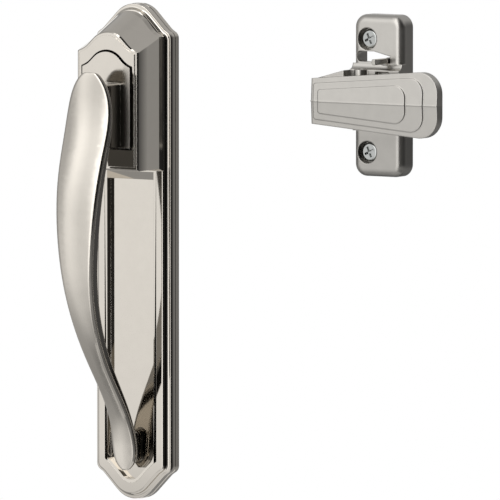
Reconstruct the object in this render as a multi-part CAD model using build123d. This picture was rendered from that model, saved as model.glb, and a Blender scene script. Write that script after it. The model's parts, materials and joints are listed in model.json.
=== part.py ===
from build123d import *
import os
from math import cos, pi, radians, sin
from typing import NamedTuple

# Bar handle latch set for a storm door, in millimetres.
# +Z is up and the door's face is the plane Y = 0.  The front looks along -Y, and "depth" is the
# distance out of the door, so a point at depth d has Y = -d.
# The origin is on the door's face, midway between the two threaded posts of the outside handle.


class Ogee(NamedTuple):
    """Proportions of an ogee head, as shares of its half width, and its two slopes in degrees."""
    crown: float
    flank_slope: float
    reverse: float
    shoulder_slope: float
    shoulder: float


class Station(NamedTuple):
    """One section of the pull bar: percent of the way down it, depth, half width, side height."""
    percent: float
    depth: float
    half_width: float
    side: float


# Fits and habits shared by both halves
slip = 0.10            # radial clearance of a pin or shank in its bore
running = 0.35         # clearance between faces that move past each other
snug = 0.05            # radial clearance of a riveted or screwed shank
hole_spare = 0.5       # how far a blind screw hole runs past its screw
weld = 0.5             # how deep one part of a casting starts inside another
fillet_share = 0.85    # largest fillet, as a share of the wall that it runs on
post_spacing = 44.45   # between the two screws through the door

# Plunger block
block_half_width = 11.2
block_head_drop = 3.3  # from the upper post down to the block's peak
block_length = 10.8
block_proud = 0.6      # of the housing's face
block_ogee = Ogee(0.759, 44, 0.804, 18, 0.045)

# Housing over the plunger block
opening_gap = 0.8      # shadow gap round the block
housing_side_face = 2.4
housing_head_face = 7.2
housing_foot_face = 8.25
housing_side_taper = 0.3
housing_head_taper = 6.5
housing_height = 19.2  # from the flange to the housing's face
housing_bevel = 0.6
housing_step = 0.5     # height of the raised border round the opening
housing_step_inset = 1.5
housing_flare = 0.8
housing_flare_height = 1.6
housing_wall = 2.0
housing_front_wall = 2.2
housing_base_ogee = Ogee(0.694, 47, 0.764, 22, 0.042)
housing_front_ogee = Ogee(0.709, 44, 0.851, 18, 0.043)

# Escutcheon plate
plate_length = 197.0
plate_side_margin = 3.1
plate_head_margin = 3.7
plate_ogee = Ogee(0.629, 45, 0.468, 28, 0.175)
tier_depth = 2.5       # lower tier of the stepped edge
tier_step = 0.2
tier_round = 0.35
flange_rise = 3.1
flange_round = 0.4
rim_rise = 2.4
rim_inset = 2.1
rim_width = 3.5
rim_cove = 1.0
rim_round = 0.9
recess_ogee = Ogee(0.475, 45, 1.07, 28, 0.02)
recess_foot_inset = 6.7
recess_head_gap = 1.4
recess_slope_height = 3.3
recess_sink = 2.6
recess_wall_slope = 1.2 # how far the recess narrows from rim to panel
panel_wall = 2.4
skirt_wall = 4.1       # wall left round the hollow back
skirt_rib = 2.6        # wall left at the ends of the hollow back
skirt_corner = 2.0

# Bar and neck, cast in one with the block
neck_half_width = 6.8
neck_top = 6.7
neck_round = 1.2
neck_bury = 3.2        # how far behind the bar's front line the neck ends
bar_head = 11.35       # height of the bar's upper end
bar_tail = 8.5         # how far the bar runs below its hinge
bar_crown_radius = 42.0
bar_edge_round = 1.1
bar_lip = 0.7
bar_groove = 0.45
bar_back_round = 0.9
bar_stations = [
    Station(0.0, 37.6, 2.4, 3.0),
    Station(0.5, 37.7, 4.0, 3.0),
    Station(1.6, 37.9, 5.7, 3.1),
    Station(3.4, 38.1, 7.5, 3.2),
    Station(7.4, 38.6, 9.6, 3.6),
    Station(13.7, 40.6, 10.4, 4.4),
    Station(20.0, 43.8, 10.2, 5.2),
    Station(27.0, 46.8, 9.8, 5.9),
    Station(34.7, 48.5, 9.1, 6.3),
    Station(44.5, 48.6, 7.9, 6.6),
    Station(54.7, 46.2, 6.4, 6.8),
    Station(67.6, 38.0, 4.7, 6.4),
    Station(74.3, 31.2, 4.1, 5.8),
    Station(80.6, 23.8, 4.0, 5.2),
    Station(86.0, 18.2, 4.4, 4.6),
    Station(90.0, 15.4, 4.9, 4.2),
    Station(95.0, 13.6, 5.3, 3.9),
    Station(97.9, 12.9, 4.4, 3.7),
    Station(99.4, 12.5, 2.6, 3.4),
    Station(100.0, 12.4, 1.2, 3.2),
]

# Hinge at the tail of the bar
hinge_inset = 20.5     # from the foot of the plate up to the hinge
hinge_pin_radius = 1.25
hinge_pin_end_wall = 1.1
hinge_eye_wall = 0.65
hinge_lug_half_width = 2.2
foot_half_width = 2.7
foot_above = 7.4
foot_below = 6.2
foot_lift = 0.6        # gap between the foot and the recessed panel
foot_bury = 2.2        # how far behind the bar's front line the foot ends
keeper_margin = 5.1    # from the side of the plate to the keeper
keeper_half_height = 4.2
keeper_thickness = 1.0
keeper_corner = 1.2
keeper_screw_inset = 1.8
keeper_screw_radius = 0.9
keeper_screw_head_radius = 1.7
keeper_screw_head = 0.8
keeper_screw_length = 4.0

# Back cover and the stops behind the block
cover_depth = 2.0
cover_thickness = 1.6
cover_ledge = 1.2
cover_screw_head_inset = 5.0
cover_screw_side_inset = 2.4
cover_screw_foot_inset = 2.3
cover_screw_radius = 1.1
cover_screw_head_radius = 2.0
cover_screw_head = 1.3
cover_screw_round = 0.5
cover_screw_length = 6.0
cover_boss_radius = 2.2
cover_boss_floor = 3.5
driver_slot = 0.6
driver_slot_depth = 0.7
stop_rib_half_height = 8.0
stop_overlap = 1.8

# Posts, pull rod and return spring
post_radius = 3.0
post_margin = 2.7      # from a post to the foot of the housing
post_bore_radius = 2.1
post_reach = 13.0
post_shoulder = 0.3
post_upset = 0.2       # riveted end in front of the cover
post_floor = 0.6
rod_radius = 2.5
rod_reach = 21.0
rod_grip = 7.0         # length of the rod's hole in the block
rod_end_gap = 0.4
rod_neck_groove = 0.9
rod_neck = 3.0
rod_head = 2.4
rod_chamfer = 0.5
rod_hole_gap = 0.9
nut_across_flats = 8.0
nut_thickness = 3.0
spring_wire = 0.7
spring_gap = 0.75      # between the rod and the spring round it
spring_turns = 4.0
spring_end_gap = 0.1
washer_margin = 0.75
washer_thickness = 0.8
washer_back = 9.0      # how far behind the door's face the spring's washer sits
clip_rim = 1.6
clip_groove = 0.6
clip_thickness = 0.7
clip_mouth = 3.0

# Inside latch base
latch_x = 115.9
latch_z = 4.7
base_half_width = 11.4
base_end = 9.525       # from a screw to the end of the base
base_depth = 8.0
base_corner = 5.0
base_round = 3.2
screw_x = -4.8
counterbore_radius = 4.4
counterbore_floor = 4.2
screw_head_radius = 3.8
screw_head = 2.2
screw_head_round = 1.1
screw_radius = 1.95
screw_length = 17.0
screw_hole_gap = 0.3
cross_length = 4.4
cross_width = 0.9
cross_depth = 1.3
cross_angle = 25
slot_left = -9.7
slot_right = 5.7
slot_top = 17.4
slot_bottom = 13.3
slot_corner = 1.9
slot_flat_end = -1.5
slot_right_top = 15.7
slot_right_bottom = 12.1
slot_low_end = -2.0
pocket_left = -9.8
pocket_right = 9.0
pocket_bottom = -14.0
pocket_depth = 4.8
pocket_corner = 1.0

# Lever of the latch
lever_axis_z = -2.3
lever_left = -25.0
lever_right = 33.7
lever_left_half_height = 8.9
lever_right_half_height = 13.6
lever_plate = 3.4
lever_corner = 8.5
lever_roof = 0.7       # rise of the ridge over the long edges
lever_step_rise = 0.55
lever_bead = 0.3       # radius of the bead along the ridge
step_inset_side = 2.0
step_inset_right = 6.6
step_inset_left = 1.6
step_corner = 6.0
step_left_corner = 1.0
top_inset_side = 4.6
top_inset_right = 14.4
top_inset_left = 4.0
top_corner = 5.0
nose_round = 1.0
nose_tip_inset = 1.0
nose_drop = 1.2        # how far behind the pivot the nose starts
nose_right = -11.7
nose_top = 10.0
nose_bottom = -11.4
pivot_x = -6.0
pivot_radius = 1.2
pivot_lift = 0.5       # gap between the hub and the base
hub_right = -0.6
hub_wall = 1.0
hub_top = 6.8
hub_bottom = -8.0
hub_gap_half_height = 4.5
hub_gap_clearance = 0.6
lever_spring_wire = 0.6
lever_spring_gap = 0.4     # between the pin and the spring round it
lever_spring_turns = 5.0
lever_spring_end_gap = 0.3

# Ears of the latch base
ear_thickness = 3.2
ear_ledge_rise = 2.3
ear_tongue_half_width = 2.6
notch_left = 0.4
notch_right = 6.6
notch_height = 1.4

# Lock slide behind the latch base
lock_travel = 8.0
lock_slant = 14        # degrees that the slide climbs as it moves left
tab_x = 4.45
tab_width = 1.7
tab_height = 2.3
tab_z = 13.9
tab_corner = 0.4
tab_round = 0.3
tab_reach = 10.0       # past the face of the base
lock_plate_thickness = 1.6
lock_plate_left = 1.6
lock_plate_right = 7.6
lock_plate_bottom = -6.0
lock_plate_corner = 0.8
lock_fork_length = 4.2
lock_spring_thickness = 0.4
lock_spring_bow = 1.6
lock_spring_inset = 0.4
lock_spring_gap = 0.1
retainer_gap = 0.2
retainer_thickness = 0.8
retainer_top = 9.4
retainer_bottom = -13.0
retainer_half_width = 8.4
retainer_corner = 1.0
rivet_radius = 1.0
rivet_head_radius = 1.7
rivet_head = 0.4
rivet_length = 4.2
rivet_z = -10.5
rivet_x = 6.4

# Front-view sizes of the outside handle, from the posts outwards
post_z = post_spacing / 2
housing_bottom = -(post_z + post_radius + post_margin)
block_peak = post_z - block_head_drop
block_bottom = housing_bottom + housing_foot_face + opening_gap
housing_front_half_width = block_half_width + opening_gap + housing_side_face
housing_front_peak = block_peak + opening_gap + housing_head_face
housing_base_half_width = housing_front_half_width + housing_side_taper
housing_base_peak = housing_front_peak + housing_head_taper
plate_half_width = housing_base_half_width + plate_side_margin
plate_top = housing_base_peak + plate_head_margin
plate_bottom = plate_top - plate_length
recess_half_width = plate_half_width - rim_inset - rim_width
hinge_z = plate_bottom + hinge_inset
keeper_half_width = plate_half_width - keeper_margin
keeper_screw_x = keeper_half_width - keeper_screw_inset
hinge_pin_half_length = keeper_screw_x - keeper_screw_radius - hinge_pin_end_wall

# Depths of the outside handle
flange_depth = tier_depth + flange_rise
rim_depth = flange_depth + rim_rise
panel_depth = rim_depth - recess_sink
housing_depth = flange_depth + housing_height
housing_slope = housing_head_taper / housing_height
block_front_depth = housing_depth + block_proud
block_rear_depth = block_front_depth - block_length
cover_front_depth = cover_depth + cover_thickness
hinge_eye_radius = hinge_pin_radius + slip + hinge_eye_wall
hinge_depth = keeper_thickness + running + hinge_eye_radius
block_rise = (block_front_depth - block_length / 2 - hinge_depth) / -hinge_z   # along the block's swing
spring_radius = rod_radius + spring_gap + spring_wire / 2

# Sizes of the latch, from its pivot outwards
base_half_height = post_z + base_end
hub_radius = pivot_radius + slip + hub_wall
pivot_depth = base_depth + pivot_lift + hub_radius
lever_back_depth = pivot_depth + ear_tongue_half_width + running
lever_front_depth = lever_back_depth + lever_plate
lever_crest_depth = lever_front_depth + lever_roof + 2 * lever_step_rise
hub_middle = (hub_top + hub_bottom) / 2
ear_upper = hub_top + running              # height of the upper ear's inner face
ear_lower = hub_bottom - running
ear_ledge_depth = base_depth + ear_ledge_rise
lock_plate_back = pocket_depth - running - lock_plate_thickness
retainer_back = lock_plate_back - retainer_gap - retainer_thickness


def front_plane(depth):
    """Plane parallel to the door at this depth: its x is X, its y is Z and it looks out of the door."""
    return Plane.XZ.offset(depth)


def slab(outline, back, front):
    """Solid of a front-view outline between two depths."""
    return extrude(front_plane(back) * outline, amount=front - back)


def rod(x, z, radius, back, front):
    """Round bar along Y between two depths."""
    return slab(Pos(x, z) * Circle(radius), back, front)


def side_slab(points, left, right):
    """Solid of a side-view outline, given as (depth, height) points, between two values of X."""
    profile = make_face(Polyline(*[(-depth, z) for depth, z in points], close=True))
    return extrude(Plane.YZ.offset(left) * profile, amount=right - left)


def limited(radius, wall):
    """Fillet radius, no larger than the wall that it runs on can take."""
    return min(radius, fillet_share * wall)


def front_edges(part):
    """Edges of the face that lies furthest out of the door."""
    return part.faces().sort_by(Axis.Y)[0].edges()


def ogee_head(half_width, style):
    """Right half of an ogee head with its peak at the origin, from the peak to the straight side."""
    flank, rest = radians(style.flank_slope), radians(style.shoulder_slope)
    crown = style.crown * half_width
    reverse = style.reverse * half_width
    shoulder = style.shoulder * half_width
    run = half_width - crown * sin(flank) - reverse * (sin(flank) - sin(rest)) - shoulder * (1 - sin(rest))
    top = JernArc((0, 0), (1, 0), crown, -style.flank_slope)
    slope = Line(top @ 1, (top @ 1) + (top % 1) * (run / cos(flank)))
    hollow = JernArc(slope @ 1, slope % 1, reverse, style.flank_slope - style.shoulder_slope)
    corner = JernArc(hollow @ 1, hollow % 1, shoulder, style.shoulder_slope - 90)
    return [top, slope, hollow, corner]


def ogee_outline(half_width, peak, bottom, style, foot_style=None):
    """Front-view face with an ogee head, and an ogee foot too where a foot style is given."""
    right = [Pos(0, peak) * edge for edge in ogee_head(half_width, style)]
    if foot_style:
        foot = [Pos(0, bottom) * mirror(edge, about=Plane.XZ) for edge in ogee_head(half_width, foot_style)]
        right += [Line(right[-1] @ 1, foot[-1] @ 1)] + foot
    else:
        corner = (half_width, bottom)
        right += [Line(right[-1] @ 1, corner), Line(corner, (0, bottom))]
    return make_face(right + [mirror(edge, about=Plane.YZ) for edge in right])


def plate_outline(inset):
    return ogee_outline(plate_half_width - inset, plate_top - inset, plate_bottom + inset,
                        plate_ogee, plate_ogee)


def opening_outline():
    return ogee_outline(block_half_width + opening_gap, block_peak + opening_gap,
                        block_bottom - opening_gap, block_ogee)


def housing_solid():
    """Tapered housing: flared foot, sides that narrow to a bevel, and a raised border on its face."""
    ledge_depth = housing_depth - housing_step
    flare = ogee_outline(housing_base_half_width + housing_flare, housing_base_peak + housing_flare,
                         housing_bottom - housing_flare, housing_base_ogee)
    base = ogee_outline(housing_base_half_width, housing_base_peak, housing_bottom, housing_base_ogee)
    shoulder = ogee_outline(housing_front_half_width, housing_front_peak, housing_bottom, housing_front_ogee)
    ledge = ogee_outline(housing_front_half_width - housing_bevel, housing_front_peak - housing_bevel,
                         housing_bottom + housing_bevel, housing_front_ogee)
    border = ogee_outline(housing_front_half_width - housing_step_inset,
                          housing_front_peak - housing_step_inset,
                          housing_bottom + housing_step_inset, housing_front_ogee)
    body = loft([front_plane(rim_depth) * flare,
                 front_plane(rim_depth + housing_flare_height) * base,
                 front_plane(ledge_depth - housing_bevel) * shoulder,
                 front_plane(ledge_depth) * ledge], ruled=True)
    return body + slab(flare, flange_depth, rim_depth) + slab(border, ledge_depth - weld, housing_depth)


def housing_cavity():
    base = ogee_outline(housing_base_half_width - housing_wall, housing_base_peak - housing_wall,
                        housing_bottom + housing_wall, housing_base_ogee)
    face = ogee_outline(housing_front_half_width - housing_wall,
                        housing_front_peak + housing_slope * housing_front_wall - housing_wall,
                        housing_bottom + housing_wall, housing_front_ogee)
    deep = loft([front_plane(flange_depth) * base,
                 front_plane(housing_depth - housing_front_wall) * face], ruled=True)
    return deep + slab(base, 0, flange_depth)


def cover_outline(gap):
    return ogee_outline(housing_base_half_width - housing_wall + cover_ledge - gap,
                        housing_base_peak - housing_wall + cover_ledge - gap,
                        housing_bottom + housing_wall - cover_ledge + gap, housing_base_ogee)


def cover_screw_places():
    side = housing_base_half_width - housing_wall - cover_screw_side_inset
    low = housing_bottom + housing_wall + cover_screw_foot_inset
    return [(0, housing_base_peak - cover_screw_head_inset), (side, low), (-side, low)]


def recess_outline(half_width, top, bottom):
    """Front-view face with a straight head and an ogee foot."""
    return mirror(ogee_outline(half_width, -bottom, -top, recess_ogee), about=Plane.XZ)


def escutcheon():
    lower = slab(plate_outline(0), 0, tier_depth)
    lower = fillet(front_edges(lower), limited(tier_round, tier_depth))
    upper = slab(plate_outline(tier_step), 0, flange_depth)
    upper = fillet(front_edges(upper), limited(flange_round, flange_rise))
    rim = slab(plate_outline(rim_inset), 0, rim_depth)
    rim = fillet(front_edges(rim), limited(rim_round, rim_rise / 2))
    plate = lower + upper
    stepped = plate + rim
    plate = fillet(new_edges(plate, rim, combined=stepped), limited(rim_cove, rim_rise / 2))

    recess_top = housing_bottom - recess_head_gap
    recess_bottom = plate_bottom + recess_foot_inset
    mouth = recess_outline(recess_half_width, recess_top, recess_bottom)
    floor = recess_outline(recess_half_width - recess_wall_slope, recess_top - recess_slope_height,
                           recess_bottom + recess_wall_slope)
    plate -= loft([front_plane(panel_depth) * floor, front_plane(rim_depth) * mouth], ruled=True)

    body = plate + housing_solid()
    body -= housing_cavity()
    body -= slab(opening_outline(), flange_depth, housing_depth)
    body -= slab(cover_outline(0), 0, cover_front_depth)

    hollow_top = housing_bottom - skirt_rib
    hollow_foot = hinge_z + keeper_half_height + skirt_rib
    hollow = Pos(0, (hollow_top + hollow_foot) / 2) * RectangleRounded(
        2 * (plate_half_width - skirt_wall), hollow_top - hollow_foot, skirt_corner)
    body -= slab(hollow, 0, panel_depth - panel_wall)

    rib_outer = housing_base_half_width - housing_wall / 2
    rib_inner = block_half_width - stop_overlap
    for side in (-1, 1):
        rib = Rectangle(rib_outer - rib_inner, 2 * stop_rib_half_height)
        rib = Pos(side * (rib_inner + rib_outer) / 2, 0) * rib
        body += slab(rib, cover_front_depth, block_rear_depth - running)
    for x, z in cover_screw_places():
        body += cover_boss(x, z)
        body -= rod(x, z, cover_screw_radius + slip, 0, cover_depth + cover_screw_length + hole_spare)

    body -= slab(Pos(0, hinge_z) * Rectangle(2 * (hinge_lug_half_width + running),
                                             2 * (hinge_eye_radius + running)), 0, rim_depth)
    groove = hinge_pin_radius + slip
    body -= slab(Pos(0, hinge_z) * Rectangle(2 * (hinge_pin_half_length + slip), 2 * groove), 0, hinge_depth)
    body -= hinge_bar(groove, hinge_pin_half_length + slip)
    seat = RectangleRounded(2 * (keeper_half_width + slip), 2 * (keeper_half_height + slip), keeper_corner)
    body -= slab(Pos(0, hinge_z) * seat, 0, keeper_thickness + slip)
    for side in (-1, 1):
        body -= rod(side * keeper_screw_x, hinge_z, keeper_screw_radius + slip,
                    0, keeper_screw_length + hole_spare)
    return body


def cover_boss(x, z):
    """Screw boss for the back cover, run into the nearest wall of the housing."""
    if x == 0:
        web = Pos(0, z + cover_boss_radius / 2) * Rectangle(2 * cover_boss_radius, cover_boss_radius)
    else:
        side = 1 if x > 0 else -1
        reach = housing_base_half_width - housing_wall / 2 - abs(x)
        web = Pos(x + side * reach / 2, z) * Rectangle(reach, 2 * cover_boss_radius)
        drop = z - (housing_bottom + housing_wall / 2)
        web += Pos(x, z - drop / 2) * Rectangle(2 * cover_boss_radius, drop)
    outline = Pos(x, z) * Circle(cover_boss_radius) + web
    boss_front = cover_depth + cover_screw_length + hole_spare + cover_boss_floor
    inside = housing_solid() + slab(cover_outline(0), 0, flange_depth)
    return slab(outline, cover_front_depth, boss_front) & inside


def station_z(station):
    return bar_head + station.percent / 100 * (hinge_z - bar_tail - bar_head)


def bar_depth(z):
    """Depth of the bar's front line at a height, taken straight between the stations beside it."""
    for above, below in zip(bar_stations, bar_stations[1:]):
        top, foot = station_z(above), station_z(below)
        if foot <= z <= top:
            return above.depth + (below.depth - above.depth) * (top - z) / (top - foot)


def bar_section(station, spine):
    """Closed face of the bar across its front line: crowned front, round edge, lip, groove, side, back."""
    point = Vector(0, -station.depth, station_z(station))
    plane = Plane(origin=point, x_dir=(1, 0, 0), z_dir=spine.tangent_at(spine.param_at_point(point)))
    w = station.half_width
    bend = min(bar_edge_round, w / 3)
    crown = (w - bend) ** 2 / (2 * bar_crown_radius)
    narrow = w - min(bar_groove, w / 4)
    back = min(bar_back_round, w / 3)
    brow = (w - bend, -crown)
    edge = (w, -crown - bend)
    lip = (w, edge[1] - bar_lip)
    groove = (narrow, lip[1] - bar_groove)
    heel = (narrow, -crown - station.side + back)
    sole = (narrow - back, -crown - station.side)
    turn = ThreePointArc(brow, (w - bend + bend * sin(pi / 4), -crown - bend + bend * cos(pi / 4)), edge)
    half = [turn, Line(edge, lip), Line(lip, groove), Line(groove, heel), Line(heel, sole)]
    front = ThreePointArc((-brow[0], brow[1]), (0, 0), brow)
    rear = Line(sole, (-sole[0], sole[1]))
    outline = [front] + half + [rear] + [mirror(line, about=Plane.YZ) for line in reversed(half)]
    return plane * make_face(outline)


def plunger_block():
    outline = ogee_outline(block_half_width, block_peak, block_bottom, block_ogee)
    swing = Vector(0, 1, block_rise)
    return extrude(front_plane(block_front_depth) * outline, amount=block_length * swing.length, dir=swing)


def pull_bar():
    spine = Spline(*[(0, -s.depth, station_z(s)) for s in bar_stations])
    bar = loft([bar_section(station, spine) for station in bar_stations])

    neck_root = block_front_depth - weld
    neck = side_slab([(neck_root, block_bottom), (neck_root, neck_top),
                      (bar_depth(neck_top) - neck_bury, neck_top),
                      (bar_depth(block_bottom) - neck_bury, block_bottom)],
                     -neck_half_width, neck_half_width)
    neck_ridges = neck.faces().sort_by(Axis.Z)[-1].edges().filter_by(Axis.Y)
    neck = fillet(neck_ridges, limited(neck_round, neck_half_width))

    foot_front = bar_depth(hinge_z) - foot_bury
    foot = Pos(0, hinge_z + (foot_above - foot_below) / 2) * SlotOverall(
        foot_above + foot_below, 2 * foot_half_width, rotation=90)
    foot = slab(foot, panel_depth + foot_lift, foot_front)
    lug = Pos(0, hinge_z) * Rectangle(2 * hinge_lug_half_width, 2 * hinge_eye_radius)
    foot += slab(lug, hinge_depth, foot_front)
    foot += hinge_bar(hinge_eye_radius, hinge_lug_half_width)

    casting = bar + neck + plunger_block() + foot
    casting -= rod(0, 0, rod_radius + slip, 0, block_rear_depth + rod_grip)
    casting -= hinge_bar(hinge_pin_radius + slip, hinge_pin_half_length)
    return casting


def hinge_bar(radius, half_length):
    """Round bar on the axis of the handle's hinge."""
    return Pos(0, -hinge_depth, hinge_z) * Rot(0, 90, 0) * Cylinder(radius, 2 * half_length)


def hinge_pin():
    return hinge_bar(hinge_pin_radius, hinge_pin_half_length)


def hinge_keeper():
    plate = RectangleRounded(2 * keeper_half_width, 2 * keeper_half_height, keeper_corner)
    plate = slab(Pos(0, hinge_z) * plate, 0, keeper_thickness)
    for side in (-1, 1):
        plate -= countersunk_screw(side * keeper_screw_x, hinge_z, slip)
    return plate


def countersunk_screw(x, z, gap):
    """Flat-head screw driven into the casting from behind, grown by a gap to cut its own hole."""
    head = keeper_screw_head_radius + gap
    shank = keeper_screw_radius + gap
    cone = Pos(x, -keeper_screw_head / 2, z) * Rot(90, 0, 0) * Cone(head, shank, keeper_screw_head)
    return cone + rod(x, z, shank, keeper_screw_head / 2, keeper_screw_length)


def keeper_screws():
    return Compound([countersunk_screw(side * keeper_screw_x, hinge_z, 0).solid() for side in (-1, 1)])


def back_cover():
    plate = slab(cover_outline(slip), cover_depth, cover_front_depth)
    plate -= rod(0, 0, rod_radius + rod_hole_gap, 0, housing_depth)
    for side in (-1, 1):
        plate -= rod(0, side * post_z, post_radius - post_shoulder + snug, 0, housing_depth)
    for x, z in cover_screw_places():
        plate -= rod(x, z, cover_screw_radius + slip, 0, housing_depth)
    return plate


def cover_screws():
    screws = []
    for x, z in cover_screw_places():
        head = rod(x, z, cover_screw_head_radius, cover_depth - cover_screw_head, cover_depth)
        head = fillet(head.faces().sort_by(Axis.Y)[-1].edges(), limited(cover_screw_round, cover_screw_head))
        slot = Pos(x, z) * Rectangle(3 * cover_screw_head_radius, driver_slot)
        head -= slab(slot, 0, cover_depth - cover_screw_head + driver_slot_depth)
        shank = rod(x, z, cover_screw_radius, cover_depth, cover_depth + cover_screw_length)
        screws.append((head + shank).solid())
    return Compound(screws)


def post(side):
    """Threaded post riveted into the back cover: it takes a screw from the inside of the door."""
    z = side * post_z
    body = rod(0, z, post_radius, -post_reach, cover_depth)
    body += rod(0, z, post_radius - post_shoulder, cover_depth, cover_front_depth + post_upset)
    return body - rod(0, z, post_bore_radius, -post_reach, cover_front_depth + post_upset - post_floor)


def rod_groove(depth, back, front):
    """Ring that cuts a groove this deep round the pull rod."""
    return rod(0, 0, 2 * rod_radius, back, front) - rod(0, 0, rod_radius - depth, back, front)


def pull_rod():
    """Screwed rod that carries the pull through the door, with a turned neck for the lever."""
    body = rod(0, 0, rod_radius, -rod_reach, block_rear_depth + rod_grip - rod_end_gap)
    neck_back = -rod_reach + rod_head
    body -= rod_groove(rod_neck_groove, neck_back, neck_back + rod_neck)
    groove_front = -washer_back - washer_thickness
    body -= rod_groove(clip_groove, groove_front - clip_thickness - 2 * snug, groove_front)
    return chamfer(body.faces().sort_by(Axis.Y)[-1].edges(), limited(rod_chamfer, rod_head))


def rod_nut():
    flats = RegularPolygon(nut_across_flats / 2, 6, major_radius=False)
    body = slab(flats, block_rear_depth - nut_thickness, block_rear_depth)
    return body - rod(0, 0, rod_radius + snug, 0, housing_depth)


def spring_washer():
    washer_radius = spring_radius + spring_wire / 2 + washer_margin
    body = rod(0, 0, washer_radius, -washer_back - washer_thickness, -washer_back)
    return body - rod(0, 0, rod_radius + slip, -rod_reach, 0)


def rod_clip():
    """Open retaining ring in the groove of the rod."""
    front = -washer_back - washer_thickness - snug
    clip_radius = rod_radius + clip_rim
    ring = Circle(clip_radius) - Circle(rod_radius - clip_groove + snug)
    ring -= Pos(0, -clip_radius) * Rectangle(clip_mouth, 2 * clip_radius)
    return slab(ring, front - clip_thickness, front)


def coil(radius, wire, turns, length):
    """Coil spring along +Z with its wire's centre starting at z = wire / 2."""
    pitch = (length - wire) / turns
    path = Helix(pitch, pitch * turns, radius)
    section = Plane(origin=path @ 0, z_dir=path % 0) * Circle(wire / 2)
    return Pos(0, 0, wire / 2) * sweep(section, path=path, is_frenet=True)


def return_spring():
    length = cover_depth + washer_back - 2 * spring_end_gap
    spring = coil(spring_radius, spring_wire, spring_turns, length)
    return Pos(0, -cover_depth + spring_end_gap, 0) * Rot(-90, 0, 0) * spring


def at_latch(part):
    return Pos(latch_x, 0, latch_z) * part


def slot_outline():
    """Lock slot: tall and round at its left end, and slanting down to a narrower right end."""
    left = make_face(Polyline((slot_left, slot_bottom), (slot_left, slot_top), (slot_flat_end, slot_top),
                              (slot_right, slot_right_top), (slot_right, slot_right_bottom),
                              (tab_x - tab_width, slot_right_bottom), (slot_low_end, slot_bottom),
                              close=True))
    return fillet(left.vertices().group_by(Axis.X)[0], limited(slot_corner, (slot_top - slot_bottom) / 2))


def ear_profile(side):
    """Side-view face of an ear's full-width ledge, with its hollow run up from the face of the base."""
    inner = ear_upper if side > 0 else ear_lower
    outer = inner + side * ear_thickness
    start = (-ear_ledge_depth, outer)
    middle = (-ear_ledge_depth + ear_ledge_rise * sin(pi / 4),
              outer + side * ear_ledge_rise * (1 - cos(pi / 4)))
    end = (-base_depth, outer + side * ear_ledge_rise)
    buried = -base_depth + base_round
    return make_face([ThreePointArc(start, middle, end),
                      Polyline(end, (buried, end[1]), (buried, inner), (-ear_ledge_depth, inner), start)])


def latch_ear(side):
    ledge = extrude(Plane.YZ * ear_profile(side), amount=base_half_width, both=True)
    low = ear_upper if side > 0 else ear_lower - ear_thickness
    tongue = make_face(Polyline((pivot_x - ear_tongue_half_width, -base_depth),
                                (pivot_x - ear_tongue_half_width, -pivot_depth),
                                (pivot_x + ear_tongue_half_width, -pivot_depth),
                                (pivot_x + ear_tongue_half_width, -base_depth), close=True))
    tongue += Pos(pivot_x, -pivot_depth) * Circle(ear_tongue_half_width)
    return ledge + upright(tongue, low, low + ear_thickness)


def latch_base():
    body = slab(RectangleRounded(2 * base_half_width, 2 * base_half_height, base_corner), 0, base_depth)
    body = fillet(front_edges(body), base_round)
    for side in (-1, 1):
        body += latch_ear(side)
    pocket = Pos((pocket_left + pocket_right) / 2, (slot_top + pocket_bottom) / 2) * RectangleRounded(
        pocket_right - pocket_left, slot_top - pocket_bottom, pocket_corner)
    body -= slab(pocket, 0, pocket_depth)
    body -= slab(slot_outline(), 0, ear_ledge_depth)
    for side in (-1, 1):
        z = side * post_z
        body -= rod(screw_x, z, counterbore_radius, counterbore_floor, base_depth)
        body -= rod(screw_x, z, screw_radius + screw_hole_gap, 0, base_depth)
    body -= rod(screw_x, 0, rod_radius + rod_hole_gap, 0, base_depth)
    notch_z = ear_upper + ear_thickness / 2
    body -= slab(Pos((notch_left + notch_right) / 2, notch_z) * Rectangle(
        notch_right - notch_left, notch_height), base_depth, ear_ledge_depth)
    body -= pivot_bar(pivot_radius + slip)
    for side in (-1, 1):
        body -= rod(side * rivet_x, rivet_z, rivet_radius + snug,
                    0, retainer_back + rivet_length + hole_spare)
    return at_latch(body)


def pivot_bar(radius):
    """Round bar on the axis of the lever's pivot, from ear to ear."""
    length = ear_upper - ear_lower + 2 * ear_thickness
    return Pos(pivot_x, -pivot_depth, hub_middle) * Cylinder(radius, length)


def lever_outline(inset_side, inset_left, inset_right, corner):
    """Tapered front-view outline of the lever, or of one of its raised steps."""
    def half_height(x):
        growth = (lever_right_half_height - lever_left_half_height) / (lever_right - lever_left)
        return lever_left_half_height + growth * (x - lever_left) - inset_side
    left, right = lever_left + inset_left, lever_right - inset_right
    face = make_face(Polyline((left, half_height(left)), (right, half_height(right)),
                              (right, -half_height(right)), (left, -half_height(left)), close=True))
    ends = face.vertices().group_by(Axis.X)
    face = fillet(ends[-1], corner)
    if inset_left:
        face = fillet(face.vertices().group_by(Axis.X)[0], step_left_corner)
    return Pos(0, lever_axis_z) * face


def lever_roof_solid(rise):
    """Everything behind the lever's shallow roof, whose ridge runs along its middle."""
    ridge = lever_front_depth + lever_roof + rise
    eaves = lever_front_depth + rise
    reach = lever_right_half_height
    return side_slab([(0, lever_axis_z - reach), (eaves, lever_axis_z - reach), (ridge, lever_axis_z),
                      (eaves, lever_axis_z + reach), (0, lever_axis_z + reach)],
                     2 * lever_left, 2 * lever_right)


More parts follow.
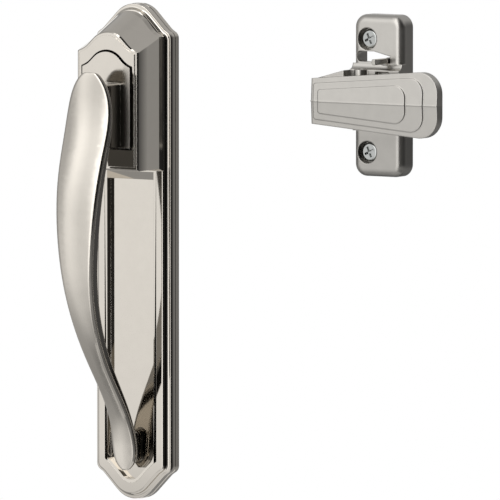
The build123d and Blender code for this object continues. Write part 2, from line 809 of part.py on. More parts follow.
def latch_lever():
    plate = slab(lever_outline(0, 0, 0, lever_corner), lever_back_depth, lever_crest_depth)
    plate &= lever_roof_solid(0)
    plate = fillet(plate.edges().group_by(Axis.X)[0].sort_by(Axis.Y)[0:2], limited(nose_round, lever_plate))
    step = slab(lever_outline(step_inset_side, step_inset_left, step_inset_right, step_corner),
                lever_back_depth, lever_crest_depth) & lever_roof_solid(lever_step_rise)
    top = slab(lever_outline(top_inset_side, top_inset_left, top_inset_right, top_corner),
               lever_back_depth, lever_crest_depth) & lever_roof_solid(2 * lever_step_rise)
    body = plate + step + top
    steps = [(0, 0, 0), (step_inset_left, step_inset_right, 1), (top_inset_left, top_inset_right, 2)]
    for inset_left, inset_right, level in steps:
        left, right = lever_left + inset_left + lever_bead, lever_right - inset_right - lever_bead
        crest = lever_front_depth + lever_roof + level * lever_step_rise
        bead = Pos((left + right) / 2, -crest + lever_bead / 2, lever_axis_z) * Rot(0, 90, 0)
        body += bead * Cylinder(lever_bead, right - left)

    root = -lever_back_depth - weld
    tip = lever_left + nose_tip_inset
    heel = -pivot_depth + nose_drop
    nose = make_face(Polyline((tip, root), (nose_right, root), (nose_right, heel), close=True))
    taper = make_face(Polyline((tip, lever_axis_z + lever_left_half_height), (nose_right, nose_top),
                               (nose_right, nose_bottom), (tip, lever_axis_z - lever_left_half_height),
                               close=True))
    body += upright(nose, nose_bottom, nose_top) & slab(taper, 0, lever_front_depth)

    hub = make_face(Polyline((nose_right, root), (hub_right, root), (pivot_x + hub_radius, -pivot_depth),
                             (pivot_x - hub_radius, -pivot_depth), (nose_right, heel), close=True))
    hub += Pos(pivot_x, -pivot_depth) * Circle(hub_radius)
    body += upright(hub, hub_bottom, hub_top)
    gap = Pos(pivot_x, -pivot_depth) * Circle(hub_radius + hub_gap_clearance)
    body -= upright(gap, hub_middle - hub_gap_half_height, hub_middle + hub_gap_half_height)
    body -= pivot_bar(pivot_radius + slip)
    return at_latch(body)


def upright(profile, low, high):
    """Solid of a top-view outline between two heights."""
    return extrude(Plane.XY.offset(low) * profile, amount=high - low)


def lever_pin():
    return at_latch(pivot_bar(pivot_radius))


def lever_spring():
    length = 2 * (hub_gap_half_height - lever_spring_end_gap)
    radius = pivot_radius + lever_spring_gap + lever_spring_wire / 2
    body = coil(radius, lever_spring_wire, lever_spring_turns, length)
    return at_latch(Pos(pivot_x, -pivot_depth, hub_middle - length / 2) * body)


def lock_tab():
    """Sheet slide behind the base: its tab stands out through the slot, its fork grips the rod's neck."""
    lock_plate_top = tab_z + tab_height / 2
    plate = RectangleRounded(lock_plate_right - lock_plate_left, lock_plate_top - lock_plate_bottom,
                             lock_plate_corner)
    plate = Pos((lock_plate_left + lock_plate_right) / 2, (lock_plate_top + lock_plate_bottom) / 2) * plate
    fork_half_height = rod_radius - rod_neck_groove + running
    fork_z = -lock_travel * sin(radians(lock_slant))
    plate -= Pos(lock_plate_left, fork_z) * SlotOverall(2 * lock_fork_length, 2 * fork_half_height)
    body = slab(plate, lock_plate_back, lock_plate_back + lock_plate_thickness)
    tab = slab(Pos(tab_x, tab_z) * RectangleRounded(tab_width, tab_height, tab_corner), lock_plate_back,
               base_depth + tab_reach)
    tab = fillet(front_edges(tab), limited(tab_round, tab_corner))
    return at_latch(body + tab)


def lock_spring():
    """Bowed leaf under the slide that holds it where it is left."""
    left, right = lock_plate_left + lock_spring_inset, lock_plate_right - lock_spring_inset
    low = lock_plate_bottom - lock_spring_gap
    bow = ThreePointArc((left, low - lock_spring_bow), ((left + right) / 2, low - lock_spring_thickness),
                        (right, low - lock_spring_bow))
    leaf = make_face([bow, Line(bow @ 1, (bow @ 1) + Vector(0, lock_spring_thickness)),
                      Pos(0, lock_spring_thickness) * bow,
                      Line(bow @ 0, (bow @ 0) + Vector(0, lock_spring_thickness))])
    return at_latch(slab(leaf, lock_plate_back, lock_plate_back + lock_plate_thickness))


def lock_retainer():
    plate = Pos(0, (retainer_top + retainer_bottom) / 2) * RectangleRounded(
        2 * retainer_half_width, retainer_top - retainer_bottom, retainer_corner)
    body = slab(plate, retainer_back, retainer_back + retainer_thickness)
    body -= rod(screw_x, 0, rod_radius + rod_hole_gap, 0, base_depth)
    for side in (-1, 1):
        body -= rod(side * rivet_x, rivet_z, rivet_radius + snug, 0, base_depth)
    return at_latch(body)


def retainer_rivets():
    rivets = []
    for side in (-1, 1):
        body = rod(side * rivet_x, rivet_z, rivet_head_radius, retainer_back - rivet_head, retainer_back)
        body += rod(side * rivet_x, rivet_z, rivet_radius, retainer_back, retainer_back + rivet_length)
        rivets.append(at_latch(body).solid())
    return Compound(rivets)


def latch_screw(side):
    """Pan-head cross-recess screw from the inside of the door into a post."""
    z = side * post_z
    head = rod(screw_x, z, screw_head_radius, counterbore_floor, counterbore_floor + screw_head)
    head = fillet(front_edges(head), limited(screw_head_round, screw_head))
    for angle in (cross_angle, cross_angle + 90):
        arm = Pos(screw_x, z) * Rot(0, 0, angle) * Rectangle(cross_length, cross_width)
        head -= slab(arm, counterbore_floor + screw_head - cross_depth, counterbore_floor + screw_head)
    shank = rod(screw_x, z, screw_radius, counterbore_floor - screw_length, counterbore_floor)
    return at_latch(head + shank)


nodes = {
    "escutcheon": escutcheon(),
    "pull_bar": pull_bar(),
    "hinge_pin": hinge_pin(),
    "hinge_keeper": hinge_keeper(),
    "keeper_screws": keeper_screws(),
    "back_cover": back_cover(),
    "cover_screws": cover_screws(),
    "upper_post": post(1),
    "lower_post": post(-1),
    "pull_rod": pull_rod(),
    "rod_nut": rod_nut(),
    "return_spring": return_spring(),
    "spring_washer": spring_washer(),
    "rod_clip": rod_clip(),
    "latch_base": latch_base(),
    "latch_lever": latch_lever(),
    "lever_pin": lever_pin(),
    "lever_spring": lever_spring(),
    "lock_tab": lock_tab(),
    "lock_spring": lock_spring(),
    "lock_retainer": lock_retainer(),
    "retainer_rivets": retainer_rivets(),
    "upper_screw": latch_screw(1),
    "lower_screw": latch_screw(-1),
}

os.makedirs("parts", exist_ok=True)
for name, shape in nodes.items():
    export_step(shape, f"parts/{name}.step")
    print(name, len(shape.solids()), round(shape.volume, 1))
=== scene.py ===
# %% [markdown]
# # Bar handle latch set
# A storm-door set in plated zinc: a bowed pull bar on an ogee escutcheon for the outside of the door, and
# a small latch with a thumb lever for the inside.  The solids come ready from the frame, at their real
# size and place.  This lesson gives them their finishes, adds the fine threads that the solids leave
# plain, and sets up the camera and the light.

import json
import math

import bmesh
import bpy
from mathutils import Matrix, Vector


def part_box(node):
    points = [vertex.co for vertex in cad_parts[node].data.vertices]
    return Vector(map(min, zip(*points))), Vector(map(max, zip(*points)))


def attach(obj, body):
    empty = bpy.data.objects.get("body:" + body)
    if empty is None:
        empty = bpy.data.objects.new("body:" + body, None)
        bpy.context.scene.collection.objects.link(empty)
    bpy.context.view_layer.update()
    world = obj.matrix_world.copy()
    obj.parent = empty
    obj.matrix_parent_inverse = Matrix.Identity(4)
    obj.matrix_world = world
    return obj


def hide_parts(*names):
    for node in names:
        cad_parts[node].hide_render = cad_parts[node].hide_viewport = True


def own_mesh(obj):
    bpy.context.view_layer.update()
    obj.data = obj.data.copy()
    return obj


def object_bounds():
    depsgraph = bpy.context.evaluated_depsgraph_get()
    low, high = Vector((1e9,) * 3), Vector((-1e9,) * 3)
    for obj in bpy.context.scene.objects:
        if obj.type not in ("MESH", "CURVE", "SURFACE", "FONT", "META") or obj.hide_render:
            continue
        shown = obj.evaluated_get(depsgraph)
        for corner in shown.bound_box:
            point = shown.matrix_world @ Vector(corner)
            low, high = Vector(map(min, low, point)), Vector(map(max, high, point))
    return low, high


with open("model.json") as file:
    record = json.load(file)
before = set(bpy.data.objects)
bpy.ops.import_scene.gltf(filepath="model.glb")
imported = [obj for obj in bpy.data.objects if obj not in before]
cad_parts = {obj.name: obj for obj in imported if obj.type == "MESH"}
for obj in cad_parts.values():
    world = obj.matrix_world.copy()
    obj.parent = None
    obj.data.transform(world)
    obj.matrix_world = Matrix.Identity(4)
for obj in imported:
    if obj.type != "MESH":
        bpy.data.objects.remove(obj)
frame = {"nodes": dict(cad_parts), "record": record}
cad_low, cad_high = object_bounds()
nodes = frame["nodes"]
scene = bpy.context.scene
scene.view_settings.view_transform = "Standard"
mm = 0.001

# %% [markdown]
# ## The camera
# The photograph was taken from the right, a little above the middle of the set, with a long lens that
# keeps parallel lines parallel.  A perspective camera some metres away with a very long lens does the
# same, and it can still be carried round the object for other views.

# %% Camera
view_azimuth = math.radians(33)
view_elevation = math.radians(4.5)
view_centre = Vector((51.3, 0.0, -59.0)) * mm
view_width = 0.1972
lens = 1000.0
sensor = 36.0
view_distance = view_width * lens / sensor

to_camera = Vector((math.sin(view_azimuth) * math.cos(view_elevation),
                    -math.cos(view_azimuth) * math.cos(view_elevation),
                    math.sin(view_elevation)))
camera_data = bpy.data.cameras.new("camera")
camera_data.lens = lens
camera_data.sensor_width = sensor
camera_data.clip_start = 0.01
camera_data.clip_end = 50.0
camera = bpy.data.objects.new("camera", camera_data)
camera.location = view_centre + to_camera * view_distance
camera.rotation_mode = "QUATERNION"
camera.rotation_quaternion = (-to_camera).to_track_quat("-Z", "Y")
scene.collection.objects.link(camera)
scene.camera = camera
print("camera", round(view_distance, 3), "m from the middle of the view")

# %% [markdown]
# ## Writing a finish as sums
# A finish is a small graph of nodes.  Wiring each node by hand hides the idea, so one class stands for a
# socket: adding or multiplying two of them adds the Math node.  Every other node comes from one method,
# which takes the node's type, its settings and what goes into its sockets.

# %% Sockets that take part in sums
class Finish:
    """The node graph of one material or world."""

    def __init__(self, owner):
        owner.use_nodes = True
        self.tree = owner.node_tree
        self.tree.nodes.clear()

    def node(self, kind, settings=None, sockets=None, out=0):
        """Add a node: its settings first, then values or links by socket, and give back one output."""
        made = self.tree.nodes.new(kind)
        for key, value in (settings or {}).items():
            if key == "stops":
                set_stops(made.color_ramp, value)
            else:
                setattr(made, key, value)
        for key, value in (sockets or {}).items():
            if isinstance(value, Socket):
                self.tree.links.new(value.end, made.inputs[key])
            else:
                made.inputs[key].default_value = value
        return Socket(self, made.outputs[out]) if made.outputs else made


class Socket:
    """One output of a node, which can be added, subtracted and multiplied."""

    def __init__(self, finish, end):
        self.finish = finish
        self.end = end

    def math(self, operation, first, second):
        return self.finish.node("ShaderNodeMath", {"operation": operation}, {0: first, 1: second})

    def __add__(self, other):
        return self.math("ADD", self, other)

    def __radd__(self, other):
        return self.math("ADD", other, self)

    def __sub__(self, other):
        return self.math("SUBTRACT", self, other)

    def __rsub__(self, other):
        return self.math("SUBTRACT", other, self)

    def __mul__(self, other):
        return self.math("MULTIPLY", self, other)

    def __rmul__(self, other):
        return self.math("MULTIPLY", other, self)


def set_stops(ramp_of_tones, stops):
    """Give a colour ramp these (place, grey or colour) stops."""
    while len(ramp_of_tones.elements) < len(stops):
        ramp_of_tones.elements.new(1.0)
    for element, (place, tone) in zip(ramp_of_tones.elements, stops):
        element.position = place
        element.color = (tone, tone, tone, 1.0) if isinstance(tone, float) else (*tone, 1.0)


print("sockets can be added, subtracted and multiplied")

# %% [markdown]
# ## The studio
# Polished metal has no look of its own: it shows the room.  The set stood before a white backdrop with one
# broad soft light on the left and a dim room on the right, so the plate is bright, its coves are nearly
# black and its right-hand sides are grey.  Lamps alone would leave a mirror black between them, so the
# world gives each direction its brightness.  The walls come first, by compass angle from the front.

# %% Walls of the room
full_turn = 360.0
brightest = 2.0
room_round = [(-180, 0.10), (-150, 0.10), (-110, 0.26), (-75, 0.40), (-56, 0.50), (-50, 0.72),
              (-43, 1.10), (-38, 1.14), (-33, 1.04), (-26, 0.90), (-17, 0.90), (-12.5, 1.70),
              (16, 1.70), (22, 0.02), (100, 0.01), (128, 0.24), (136, 0.34), (145, 0.34),
              (146.7, 0.17), (165, 0.15), (180, 0.10)]
lift, lift_from, lift_full = 0.3, 0.05, 0.45


def axis_of(g, vector, axis):
    """The X, Y or Z of a vector."""
    return g.node("ShaderNodeSeparateXYZ", {}, {0: vector}, out=axis)


def ramp(g, value, start, full):
    """0 up to one value, 1 from another on."""
    return g.node("ShaderNodeMapRange", {}, {0: value, 1: start, 2: full})


def wall_light(g, across, away, up):
    """Brightness of the walls by compass angle, with a little more high up."""
    turn = g.node("ShaderNodeMath", {"operation": "ARCTAN2"}, {0: across, 1: 0.0 - away})
    stops = [(angle / full_turn + 0.5, level / brightest) for angle, level in room_round]
    walls = g.node("ShaderNodeValToRGB", {"stops": stops}, {0: turn * (1.0 / math.tau) + 0.5})
    return walls * (1.0 + lift * ramp(g, up, lift_from, lift_full))


print("walls with", len(room_round), "levels")

# %% [markdown]
# Below the walls the ground is grey, and takes some of its light from the wall above it.  The ceiling is
# grey too, but only behind the set, where the tops of the housing and the latch mirror it.

# %% Ground and ceiling
ground = [(-1.0, 0.32), (-0.87, 0.54), (-0.57, 0.72), (-0.30, 0.90)]
ground_from, ground_full = -0.06, -0.45
wall_share = 0.6
ceiling, ceiling_from, ceiling_full = 0.5, 0.15, 0.45
behind_from, behind_full = 0.0, 0.4


def room_light(g, across, away, up):
    """Brightness of the room by direction: walls, the ground below and a grey ceiling behind."""
    walls = wall_light(g, across, away, up)
    stops = [(height + 1.0, level / brightest) for height, level in ground]
    below = g.node("ShaderNodeValToRGB", {"stops": stops}, {0: up + 1.0})
    below = below * (1.0 - wall_share + wall_share * brightest * walls)
    sides = walls + ramp(g, up, ground_from, ground_full) * (below - walls)
    overhead = ramp(g, up, ceiling_from, ceiling_full) * ramp(g, away, behind_from, behind_full)
    return (sides + overhead * (ceiling / brightest - sides)) * brightest


print("ground with", len(ground), "levels")

# %% [markdown]
# The camera sees plain white all round.  Mirrored rays see that white where the backdrop hangs, straight
# behind the set as the photograph shows it, and the dim room elsewhere, so the coves stay dark.

# %% World
backdrop_edge = math.cos(math.radians(18))
backdrop_full = math.cos(math.radians(12))


def white_rays(g, mirrored):
    """1 for rays from the camera; mirrored and passed rays count by the share that is given."""
    camera_ray = g.node("ShaderNodeLightPath", out="Is Camera Ray")
    glossy_ray = g.node("ShaderNodeLightPath", out="Is Glossy Ray")
    passed_ray = g.node("ShaderNodeLightPath", out="Is Transmission Ray")
    rays = camera_ray + mirrored * (glossy_ray + passed_ray)
    return g.node("ShaderNodeMath", {"operation": "MINIMUM"}, {0: rays, 1: 1.0})


def studio_world():
    world = bpy.data.worlds.new("studio")
    scene.world = world
    g = Finish(world)
    direction = g.node("ShaderNodeTexCoord", out="Generated")
    across, away, up = (axis_of(g, direction, axis) for axis in "XYZ")
    room = room_light(g, across, away, up)
    to_backdrop = across * -math.sin(view_azimuth) + away * math.cos(view_azimuth)
    backdrop = ramp(g, to_backdrop, backdrop_edge, backdrop_full)
    seen = room + white_rays(g, backdrop) * (1.0 - room)
    light = g.node("ShaderNodeBackground", {}, {"Color": seen, "Strength": 1.0})
    g.node("ShaderNodeOutputWorld", {}, {"Surface": light})
    return world


print("world", studio_world().name)

# %% [markdown]
# ## The floor
# The photograph shows no ground: the set hangs before the backdrop.  A plain pale floor lies well below
# it, out of the picture.  It is white to the camera and in the metal, like the backdrop.

# %% Floor
floor_drop = 0.30
floor_side = 0.5
floor_paint = (0.80, 0.80, 0.80, 1.0)
plain_white = (1.0, 1.0, 1.0, 1.0)


def pale_floor():
    bm = bmesh.new()
    bmesh.ops.create_grid(bm, x_segments=1, y_segments=1, size=floor_side / 2)
    bmesh.ops.translate(bm, verts=bm.verts, vec=(view_centre.x, 0.0, cad_low.z - floor_drop))
    mesh = bpy.data.meshes.new("floor")
    bm.to_mesh(mesh)
    bm.free()
    floor = bpy.data.objects.new("floor", mesh)
    scene.collection.objects.link(floor)
    material = bpy.data.materials.new("floor")
    mesh.materials.append(material)
    g = Finish(material)
    matt = g.node("ShaderNodeBsdfDiffuse", {}, {"Color": floor_paint})
    white = g.node("ShaderNodeEmission", {}, {"Color": plain_white, "Strength": 1.0})
    mixed = g.node("ShaderNodeMixShader", {}, {0: white_rays(g, 1.0), 1: matt, 2: white})
    g.node("ShaderNodeOutputMaterial", {}, {"Surface": mixed})
    return floor


pale_floor()
print("floor", round(cad_low.z - floor_drop, 3), "m")

# %% [markdown]
# ## Painted shade
# Flanks, backs and undersides are darker than the room alone makes them, so painted shade darkens their
# tone.  Each mask is 1 where shade is painted and 0 where the metal keeps its own tone, and reads the place
# on the piece and the way its face looks.  The bar comes first.  Its front keeps its tone; painted shade
# darkens its flanks and back, less on the back low down, and the highlight along the right edge of its
# lower half, less towards the tail.

# %% Painted shade on the bar
front_until, flank_from = -0.45, -0.10
back_from, back_full = 0.2, 0.6
# Where the painted shade on the back is lighter, low down.
less_shaded_back_from, less_shaded_back_full, less_shaded_back_share = 50.0 * mm, 90.0 * mm, 0.6
right_from, right_full = -0.01, 0.09
edge_from, edge_full, edge_share = 80.0 * mm, 104.0 * mm, 0.8
tail_from, tail_full, tail_share = 122.0 * mm, 132.0 * mm, 0.6


def facing(g, axis):
    """How far the surface looks along one axis of the object."""
    return axis_of(g, g.node("ShaderNodeTexCoord", out="Normal"), axis)


def painted_bar_shade(g, place):
    """Painted shade on the bar's flanks and back, less on the back low down, and on the right edge of its
    lower half.
    """
    down = 0.0 - axis_of(g, place, "Z")
    less_shaded_back = ramp(g, facing(g, "Y"), back_from, back_full) * ramp(g, down, less_shaded_back_from, less_shaded_back_full)
    # Painted shade on the flanks and back, lighter on the back low down.
    cast = ramp(g, facing(g, "Y"), front_until, flank_from) - less_shaded_back_share * less_shaded_back
    # Painted shade over the highlight along the right edge, from partway down to the tail.
    right_edge = ramp(g, facing(g, "X"), right_from, right_full) * ramp(g, down, edge_from, edge_full)
    right_edge *= edge_share * (1.0 - tail_share * ramp(g, down, tail_from, tail_full))
    return g.node("ShaderNodeMath", {"operation": "MAXIMUM"}, {0: cast, 1: right_edge})


print("bar's edge dull from", round(edge_from / mm), "mm down")

# %% [markdown]
# The latch is not buffed at all.  Painted shade darkens its flanks and lower sides, the lever a little below
# the ridge along its middle, and the base more under the lever, as the lever's painted shadow.

# %% Painted shade on the latch
side_from, side_full, side_share = 0.80, 0.98, 0.8
lower_from, lower_full = 0.35, 0.80
ridge_from, ridge_full, ridge_share = -2.6 * mm, -2.2 * mm, 0.22
under_from, under_full, under_share = 9.0 * mm, 12.0 * mm, 0.25


def flank(g, start, full):
    """1 on faces that look to the left or right."""
    sideways = g.node("ShaderNodeMath", {"operation": "ABSOLUTE"}, {0: facing(g, "X")})
    return ramp(g, sideways, start, full)


def shaded_side(g, place):
    """Painted shade on the latch's flanks and lower sides, a little below the lever's ridge, and more under
    the lever as its painted shadow.
    """
    down = 0.0 - axis_of(g, place, "Z")
    sides = side_share * flank(g, side_from, side_full)
    sides += ramp(g, 0.0 - facing(g, "Z"), lower_from, lower_full)
    below_ridge = ridge_share * ramp(g, down, ridge_from, ridge_full)
    return sides + below_ridge + under_share * ramp(g, down, under_from, under_full)


print("latch dull from", round(under_from / mm), "mm down")

# %% [markdown]
# On the escutcheon painted shade darkens the flanks of the housing towards its front corners, and those of
# the rim.  Painted shade also makes the whole plate a little darker towards its foot.

# %% Painted shade on the plate
upright_from, upright_full = 0.70, 0.95
corner_from, corner_full = 17.5 * mm, 24.5 * mm
flange_from, flange_full = 3.6 * mm, 4.6 * mm
rim_from, rim_full = 8.0 * mm, 8.6 * mm
low_from, low_full, low_share = 60.0 * mm, 140.0 * mm, 0.06
foot_full, foot_share = 160.0 * mm, 0.25


def painted_plate_shade(g, place):
    """Painted shade on the flanks of housing and rim, more towards their front corners, and on the foot of
    the plate.
    """
    depth = 0.0 - axis_of(g, place, "Y")
    housing = ramp(g, depth, corner_from, corner_full)
    rim = ramp(g, depth, flange_from, flange_full) - ramp(g, depth, rim_from, rim_full)
    down = 0.0 - axis_of(g, place, "Z")
    far = low_share * ramp(g, down, low_from, low_full) + foot_share * ramp(g, down, low_full, foot_full)
    return flank(g, upright_from, upright_full) * (housing + rim) + far


print("plate's foot from", round(low_full / mm), "mm down")

# %% [markdown]
# ## The plunger block
# The block and the neck are cast in one with the satin bar, but they slide in the buffed housing and are
# glossy.  They could be a piece of their own; a mask by place keeps the casting whole.  The block is worn
# towards its right edge, where it mirrors less of the dark bar before it.

# %% Buffed block and neck
block_foot = -30.0 * mm
bar_back = 33.0 * mm
block_gloss, worn_gloss = 0.11, 0.40
worn_from, worn_full = 7.6 * mm, 11.2 * mm


def block_and_neck(g, place):
    """1 on the plunger block and the neck, which lie high up and behind the bar."""
    high, deep = axis_of(g, place, "Z"), axis_of(g, place, "Y")
    high = g.node("ShaderNodeMath", {"operation": "GREATER_THAN"}, {0: high, 1: block_foot})
    return high * g.node("ShaderNodeMath", {"operation": "GREATER_THAN"}, {0: deep, 1: -bar_back})


def block_roughness(g, place):
    """Roughness of the block, more towards its right edge."""
    return block_gloss + worn_gloss * ramp(g, axis_of(g, place, "X"), worn_from, worn_full)


print("block above", round(block_foot / mm), "mm")

# %% [markdown]
# ## Plated metal
# All pieces are plated, so one function makes every finish: slow changes of tone, haze in the gloss,
# ripples from the wheel and a fine directed grain.  The edges of the solids are sharper than plated ones,
# so the Bevel node rounds them in the shading.

# %% Metal
ripple_scale, ripple_detail = 70.0, 2.0
cloud_scale, cloud_detail = 260.0, 4.0
grain_detail = 3.0
dark_until, light_from = 0.35, 0.65
edge_samples = 12
fine_edge = 0.15 * mm


def clouds(g, place, scale, detail):
    return g.node("ShaderNodeTexNoise", {}, {"Vector": place, "Scale": scale, "Detail": detail})


def rounded(g, radius):
    """Normals as if every edge had this radius."""
    return g.node("ShaderNodeBevel", {"samples": edge_samples}, {"Radius": radius})


def metal(name, colour, tone_change, roughness, haze, ripple, grain, grain_scale, edge,
          painted_shade=None, buffed=None):
    """Plated metal, with painted shade from a mask and the tone left there; buffed is the mask of the glossy
    block.
    """
    material = bpy.data.materials.new(name)
    g = Finish(material)
    place = g.node("ShaderNodeTexCoord", out="Object")
    slow = clouds(g, place, ripple_scale, ripple_detail)
    cloud = clouds(g, place, cloud_scale, cloud_detail)
    along = g.node("ShaderNodeMapping", {}, {"Vector": place, "Scale": grain_scale})
    fine = clouds(g, along, 1.0, grain_detail)
    light = tuple(min(1.0, c * (1 + tone_change)) for c in colour)
    dark = tuple(c * (1 - tone_change) for c in colour)
    tone = g.node("ShaderNodeValToRGB", {"stops": [(dark_until, dark), (light_from, light)]}, {0: cloud})
    gloss = roughness + haze * (cloud - 0.5) + haze * (fine - 0.5)
    soft_edges = rounded(g, edge)
    # Painted shade: the tone is darkened by the mask, down to the tone left there.
    if painted_shade:
        where, left = painted_shade
        shade = 1.0 - (1.0 - left) * where(g, place)
        tone = g.node("ShaderNodeVectorMath", {"operation": "SCALE"}, {0: tone, "Scale": shade})
    if buffed:
        gloss = gloss + buffed(g, place) * (block_roughness(g, place) - gloss)
        soft_edges = g.node("ShaderNodeMix", {"data_type": "VECTOR"},
                            {0: buffed(g, place), 4: soft_edges, 5: rounded(g, fine_edge)}, out=1)
    surface = g.node("ShaderNodeBump", {}, {"Strength": 1.0, "Distance": 1.0, "Normal": soft_edges,
                                            "Height": ripple * slow + grain * fine})
    shader = g.node("ShaderNodeBsdfPrincipled", {}, {"Base Color": tone, "Metallic": 1.0,
                                                     "Roughness": gloss, "Normal": surface})
    g.node("ShaderNodeOutputMaterial", {}, {"Surface": shader})
    return material


print("edges rounded with", edge_samples, "samples")

# %% [markdown]
# ## Nickel, polished, satin and cast
# Nickel is a warm grey metal.  The escutcheon is buffed like a mirror, with slow ripples and a faint haze.
# The bar is satin, so each reflection spreads into a soft band.  The latch is plated as cast, with a grain
# along the lever and a much softer gloss.

# %% Nickel finishes
nickel, cast_nickel = (0.66, 0.62, 0.56), (0.55, 0.53, 0.495)
upright_grain = (9000.0, 9000.0, 300.0)
level_grain = (300.0, 9000.0, 9000.0)
mirror_gloss = 0.04
plate_edge, bar_edge, cast_edge = 0.25 * mm, 1.1 * mm, 0.7 * mm
square_edge = plate_edge / 10

buffing = dict(colour=nickel, tone_change=0.01, ripple=5e-7, grain=0.0, grain_scale=upright_grain)
# The escutcheon, the bar and the latch take painted shade from the masks above.
finishes = {
    "polished_nickel": metal("polished_nickel", roughness=mirror_gloss, haze=0.01, edge=plate_edge,
                             painted_shade=(painted_plate_shade, 0.15), **buffing),
    "square_nickel": metal("square_nickel", roughness=mirror_gloss, haze=0.01, edge=square_edge, **buffing),
    "satin_nickel": metal("satin_nickel", roughness=0.10, haze=0.02, edge=bar_edge,
                          painted_shade=(painted_bar_shade, 0.25), buffed=block_and_neck, **buffing),
    "cast_nickel": metal("cast_nickel", cast_nickel, tone_change=0.02, roughness=0.33, haze=0.05,
                         ripple=1e-6, grain=5e-7, grain_scale=level_grain, edge=cast_edge,
                         painted_shade=(shaded_side, 0.5)),
}
print("nickel finishes", len(finishes))

# %% [markdown]
# ## Steel and zinc
# The small pieces are steel.  The latch's screws are bright zinc, the lock tab is a warmer grey, and the
# springs are dark.  Hidden steel has a coarser haze, because nobody polishes it.

# %% Steel finishes
steel = dict(ripple=1e-6, edge=fine_edge)
finishes["lock_steel"] = metal("lock_steel", (0.52, 0.50, 0.46), tone_change=0.03, roughness=0.22,
                               haze=0.05, grain=5e-7, grain_scale=upright_grain, **steel)
finishes["bright_zinc"] = metal("bright_zinc", (0.45, 0.46, 0.45), tone_change=0.03, roughness=0.07,
                                haze=0.03, grain=5e-7, grain_scale=level_grain, **steel)
finishes["plated_steel"] = metal("plated_steel", (0.60, 0.60, 0.59), tone_change=0.06, roughness=0.28,
                                 haze=0.10, grain=1e-6, grain_scale=level_grain, **steel)
finishes["spring_steel"] = metal("spring_steel", (0.38, 0.38, 0.37), tone_change=0.05, roughness=0.26,
                                 haze=0.08, grain=1e-6, grain_scale=upright_grain, **steel)
for subpart in frame["record"]["subparts"]:
    mesh = nodes[subpart["node"]].data
    mesh.materials.clear()
    mesh.materials.append(finishes[subpart["material_slot"]])
print("finishes", len(finishes))

# %% [markdown]
# ## Walls of the recess
# The solid's recess has walls that lean out a little.  On the real plate they stand square to the panel,
# and a square corner between two mirrors throws the dark room back to the eye: that is the black line
# beside the panel.  A liner with square walls fills the lean.  It starts from the plate's own points: a
# chain along the panel's edge is extruded forward for the walls and again to the rim's edge for the strip
# in front, and a bridge closes its back.  The rim has fewer points than the panel, so some of the strip's
# points fall together and are merged.

# %% Recess liner
panel_depth, panel_half_width = 5.4 * mm, 11.0 * mm
rim_depth, mouth_half_width = 8.0 * mm, 12.2 * mm
recess_head = -29.0 * mm
recess_foot = -143.7 * mm
tolerance = 0.004 * mm
digits = 5


def edge_points(depth, half_width):
    """The plate's points on one edge of the recess: down the right side, round the foot, up the left."""
    points = set()
    for vertex in nodes["escutcheon"].data.vertices:
        x, y, z = vertex.co
        beside = abs(abs(x) - half_width) < tolerance and z < recess_head
        below = abs(x) < half_width and z < recess_foot
        if abs(y + depth) < tolerance and (beside or below):
            points.add((round(x, digits), round(z, digits)))
    right = sorted((p for p in points if p[0] > 0), key=lambda p: -p[1])
    left = sorted((p for p in points if p[0] < 0), key=lambda p: p[1])
    return right + left


def extruded(bm, chain):
    """Extrude a chain of edges; give back its new points and edges."""
    made = bmesh.ops.extrude_edge_only(bm, edges=chain)["geom"]
    points = [part for part in made if isinstance(part, bmesh.types.BMVert)]
    edges = [part for part in made if isinstance(part, bmesh.types.BMEdge)]
    return points, [edge for edge in edges if all(point in points for point in edge.verts)]


def recess_liner():
    """Square walls round the panel, the strip in front that reaches to the rim's edge, and a back."""
    rim = edge_points(rim_depth, mouth_half_width)

    def on_rim(x, z):
        return min(rim, key=lambda p: math.dist(p, (x, z)))

    panel = edge_points(panel_depth, panel_half_width)
    for end in (0, -1):
        panel[end] = (panel[end][0], on_rim(*panel[end])[1])
    bm = bmesh.new()
    row = [bm.verts.new((x, -panel_depth, z)) for x, z in panel]
    foot_chain = [bm.edges.new(pair) for pair in zip(row, row[1:])]
    wall_points, wall_chain = extruded(bm, foot_chain)
    bmesh.ops.translate(bm, verts=wall_points, vec=(0.0, panel_depth - rim_depth, 0.0))
    rim_points, rim_chain = extruded(bm, wall_chain)
    for point in rim_points:
        point.co.x, point.co.z = on_rim(point.co.x, point.co.z)
    bmesh.ops.bridge_loops(bm, edges=foot_chain + rim_chain)
    bmesh.ops.holes_fill(bm, edges=bm.edges, sides=3)
    bmesh.ops.remove_doubles(bm, verts=bm.verts, dist=tolerance)
    bmesh.ops.recalc_face_normals(bm, faces=bm.faces)
    mesh = bpy.data.meshes.new("recess_liner")
    bm.to_mesh(mesh)
    bm.free()
    liner = bpy.data.objects.new("recess_liner", mesh)
    scene.collection.objects.link(liner)
    mesh.materials.append(finishes["square_nickel"])
    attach(liner, "root")
    return liner


print("recess liner", len(recess_liner().data.polygons), "faces")

# %% [markdown]
# ## Threads of the latch's screws
# The solids leave the screws plain.  A machine thread is one ridge wound round the shank: a small triangle
# is spun about the screw's axis and moved along it a little at each step, so both its ends are closed.

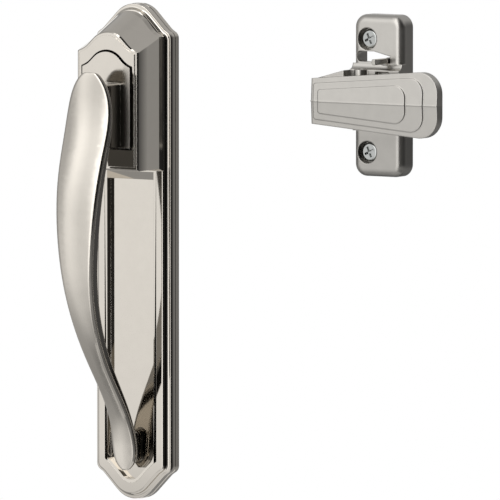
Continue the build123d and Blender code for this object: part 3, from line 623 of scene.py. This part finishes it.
# %% Screw threads
thread_pitch = 0.8 * mm
thread_rise, thread_root = 0.28 * mm, -0.1 * mm
thread_half = 0.42 * thread_pitch
thread_start = 3.2 * mm
thread_end_gap = 0.7 * mm
steps_per_turn = 20


def shank_radius(screw, axis_x, axis_z):
    """Radius of a screw's shank, read from the points of its solid behind the latch."""
    points = [v.co for v in nodes[screw].data.vertices if v.co.y > thread_start]
    return max(math.hypot(p.x - axis_x, p.z - axis_z) for p in points)


def screw_thread(screw):
    """Ridge of a machine thread on the part of a screw's shank that stands behind the latch."""
    low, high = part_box(screw)
    axis_x, axis_z = (low.x + high.x) / 2, (low.z + high.z) / 2
    shank = shank_radius(screw, axis_x, axis_z)
    bm = bmesh.new()
    ring = [bm.verts.new((axis_x + shank + rise, thread_start + along, axis_z))
            for rise, along in ((thread_root, -thread_half), (thread_rise, 0.0), (thread_root, thread_half))]
    profile = bm.faces.new(ring)
    steps = int((high.y - thread_end_gap - thread_start) / thread_pitch * steps_per_turn)
    bmesh.ops.spin(bm, geom=[profile], cent=(axis_x, 0.0, axis_z), axis=(0.0, 1.0, 0.0),
                   dvec=(0.0, thread_pitch / steps_per_turn, 0.0),
                   angle=math.tau * steps / steps_per_turn, steps=steps, use_duplicate=False)
    bmesh.ops.recalc_face_normals(bm, faces=bm.faces)
    mesh = bpy.data.meshes.new(screw + "_thread")
    bm.to_mesh(mesh)
    bm.free()
    thread = bpy.data.objects.new(screw + "_thread", mesh)
    scene.collection.objects.link(thread)
    mesh.materials.append(finishes["bright_zinc"])
    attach(thread, "root")
    print(thread.name, len(mesh.polygons), "faces")
    return thread


for screw in ("upper_screw", "lower_screw"):
    screw_thread(screw)

# %% [markdown]
# ## The return spring
# Pulling the handle draws the washer towards the cover and shortens the spring between them.  A stiff
# solid can't do that.  A copy of the coil, with a mesh of its own, stands in for it on the root body,
# and the solid spring is hidden.


def return_coil():
    coil = bpy.data.objects.new("return_coil", nodes["return_spring"].data.copy())
    scene.collection.objects.link(coil)
    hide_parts("return_spring")
    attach(coil, "root")
    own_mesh(coil)
    return coil


return_coil()
